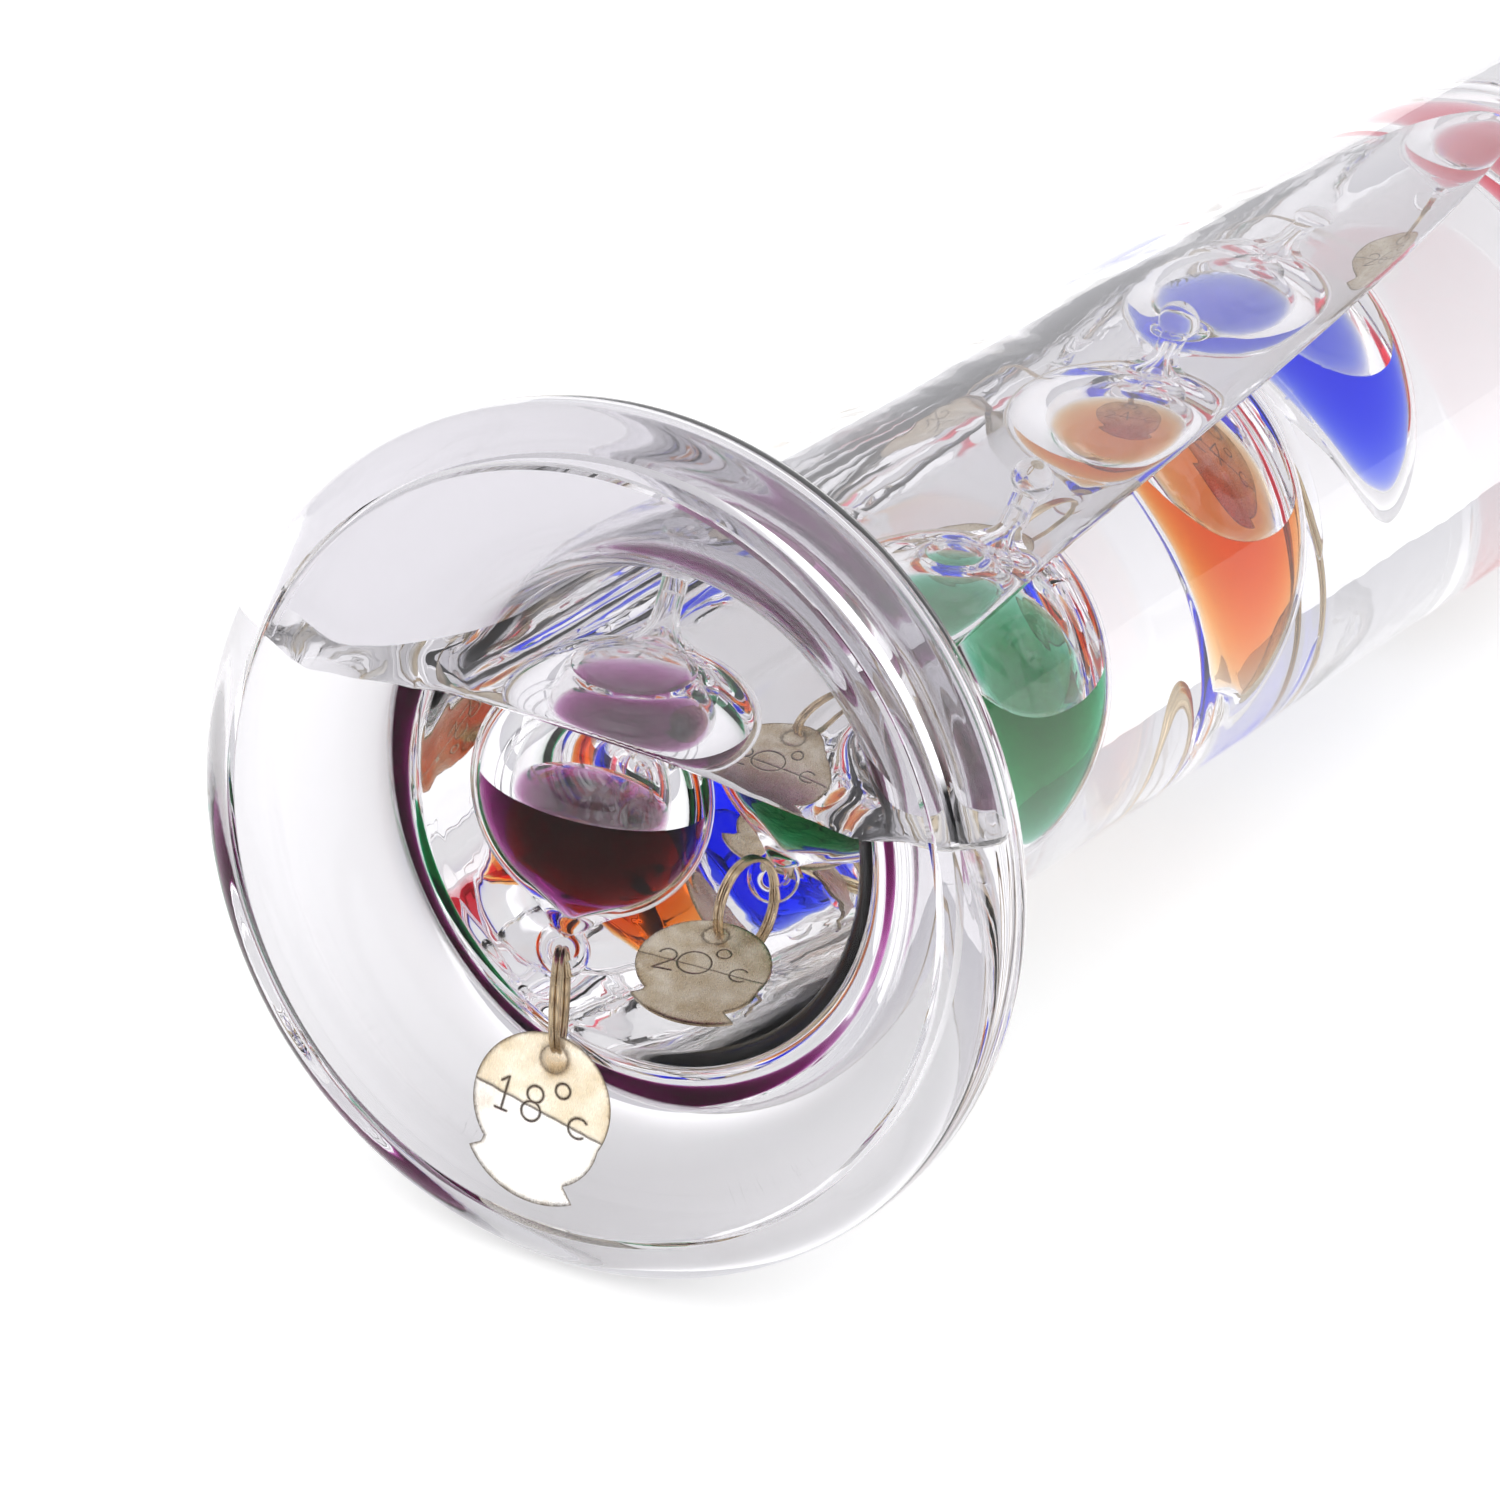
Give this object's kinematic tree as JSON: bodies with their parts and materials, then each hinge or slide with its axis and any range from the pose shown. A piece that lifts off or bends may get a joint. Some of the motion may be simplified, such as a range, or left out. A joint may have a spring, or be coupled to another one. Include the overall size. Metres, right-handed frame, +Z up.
{
  "type": "galileo thermometer",
  "caption": "Sealed glass tube on a flared foot, lying on its side, filled with clear liquid under an air pocket, with dyed glass floats that carry stamped brass tags.",
  "frame": {"origin": "on the floor under the middle of the object's box, as it lies on the rim of its foot and the dome of its tube", "axes": "+Z up, +X along the tube from the foot to the dome, +Y to the tube's left"},
  "size_m": [0.284, 0.08, 0.08],
  "materials": {
    "vessel_glass": "clear blown borosilicate glass",
    "foot_glass": "clear pressed glass disc, ground flat",
    "clear_liquid": "clear colourless paraffin liquid",
    "float_glass": "thin hand-blown glass",
    "purple_dye": "dyed clear liquid",
    "green_dye": "dyed clear liquid",
    "orange_dye": "dyed clear liquid",
    "blue_dye": "dyed clear liquid",
    "red_dye": "dyed clear liquid",
    "ring_brass": "drawn brass wire, slightly dull",
    "tag_brass": "pale rolled brass sheet, stamped"
  },
  "bodies": {
    "vessel": {"glass_tube": "vessel_glass", "foot_plate": "foot_glass", "clear_liquid": "clear_liquid"},
    "float_18": {"float_glass_18": "float_glass", "dye_18": "purple_dye"},
    "ring_18": {"split_ring_18": "ring_brass"},
    "hanging_tag_18": {"tag_18": "tag_brass"},
    "float_20": {"float_glass_20": "float_glass", "dye_20": "green_dye"},
    "ring_20": {"split_ring_20": "ring_brass"},
    "hanging_tag_20": {"tag_20": "tag_brass"},
    "float_22": {"float_glass_22": "float_glass", "dye_22": "orange_dye"},
    "ring_22": {"split_ring_22": "ring_brass"},
    "hanging_tag_22": {"tag_22": "tag_brass"},
    "float_24": {"float_glass_24": "float_glass", "dye_24": "blue_dye"},
    "ring_24": {"split_ring_24": "ring_brass"},
    "hanging_tag_24": {"tag_24": "tag_brass"},
    "float_26": {"float_glass_26": "float_glass", "dye_26": "red_dye"},
    "ring_26": {"split_ring_26": "ring_brass"},
    "hanging_tag_26": {"tag_26": "tag_brass"}
  },
  "joints": [
    {"name": "float_18_slide", "type": "slide", "parent": "vessel", "child": "float_18", "axis": [0.9978, 0, -0.0657], "range_m": [-0.0003, 0.0003], "deforming": ["clear_liquid"]},
    {"name": "ring_18_swing", "type": "hinge", "parent": "float_18", "child": "ring_18", "pos_m": [-0.12766, 0.00457, 0.02674], "axis": [0.8312, 0.1734, -0.5282], "range_deg": [-3, 8], "deforming": ["clear_liquid"]},
    {"name": "tag_18_swing", "type": "hinge", "parent": "ring_18", "child": "hanging_tag_18", "pos_m": [-0.13155, 0.00296, 0.01827], "axis": [-0.9129, -0.2066, 0.352], "range_deg": [-10, 10], "deforming": ["clear_liquid"]},
    {"name": "float_20_slide", "type": "slide", "parent": "vessel", "child": "float_20", "axis": [0.9978, 0, -0.0657], "range_m": [-0.008, 0.008], "deforming": ["clear_liquid"]},
    {"name": "ring_20_swing", "type": "hinge", "parent": "float_20", "child": "ring_20", "pos_m": [-0.09388, -0.00465, 0.02721], "axis": [0.7292, -0.162, -0.6648], "range_deg": [-10, 10], "deforming": ["clear_liquid"]},
    {"name": "tag_20_swing", "type": "hinge", "parent": "ring_20", "child": "hanging_tag_20", "pos_m": [-0.10231, -0.00247, 0.02345], "axis": [-0.332, 0.1053, 0.9374], "range_deg": [-12, 5], "deforming": ["clear_liquid"]},
    {"name": "float_22_slide", "type": "slide", "parent": "vessel", "child": "float_22", "axis": [0.9978, 0, -0.0657], "range_m": [-0.008, 0.005], "deforming": ["clear_liquid"]},
    {"name": "ring_22_swing", "type": "hinge", "parent": "float_22", "child": "ring_22", "pos_m": [-0.04568, 0.00035, 0.02298], "axis": [0.7867, -0.1209, -0.6054], "range_deg": [-10, 10], "deforming": ["clear_liquid"]},
    {"name": "tag_22_swing", "type": "hinge", "parent": "ring_22", "child": "hanging_tag_22", "pos_m": [-0.05439, 0.00247, 0.02019], "axis": [-0.137, 0.0503, 0.9893], "range_deg": [-12, 12], "deforming": ["clear_liquid"]},
    {"name": "float_24_slide", "type": "slide", "parent": "vessel", "child": "float_24", "axis": [0.9978, 0, -0.0657], "range_m": [-0.005, 0.014], "deforming": ["clear_liquid"]},
    {"name": "ring_24_swing", "type": "hinge", "parent": "float_24", "child": "ring_24", "pos_m": [-0.012, 0.01054, 0.02276], "axis": [0.7468, 0.1359, -0.651], "range_deg": [-10, 10], "deforming": ["clear_liquid"]},
    {"name": "tag_24_swing", "type": "hinge", "parent": "ring_24", "child": "hanging_tag_24", "pos_m": [-0.02018, 0.00699, 0.01976], "axis": [-0.1568, -0.0984, 0.9827], "range_deg": [-12, 12], "deforming": ["clear_liquid"]},
    {"name": "float_26_slide", "type": "slide", "parent": "vessel", "child": "float_26", "axis": [0.9978, 0, -0.0657], "range_m": [-0.015, 0.04], "deforming": ["clear_liquid"]},
    {"name": "ring_26_swing", "type": "hinge", "parent": "float_26", "child": "ring_26", "pos_m": [0.04625, 0.0053, 0.0181], "axis": [0.7675, 0.1309, -0.6276], "range_deg": [-10, 10], "deforming": ["clear_liquid"]},
    {"name": "tag_26_swing", "type": "hinge", "parent": "ring_26", "child": "hanging_tag_26", "pos_m": [0.03776, 0.00261, 0.01505], "axis": [-0.1821, -0.08, 0.98], "range_deg": [-12, 12], "deforming": ["clear_liquid"]}
  ]
}
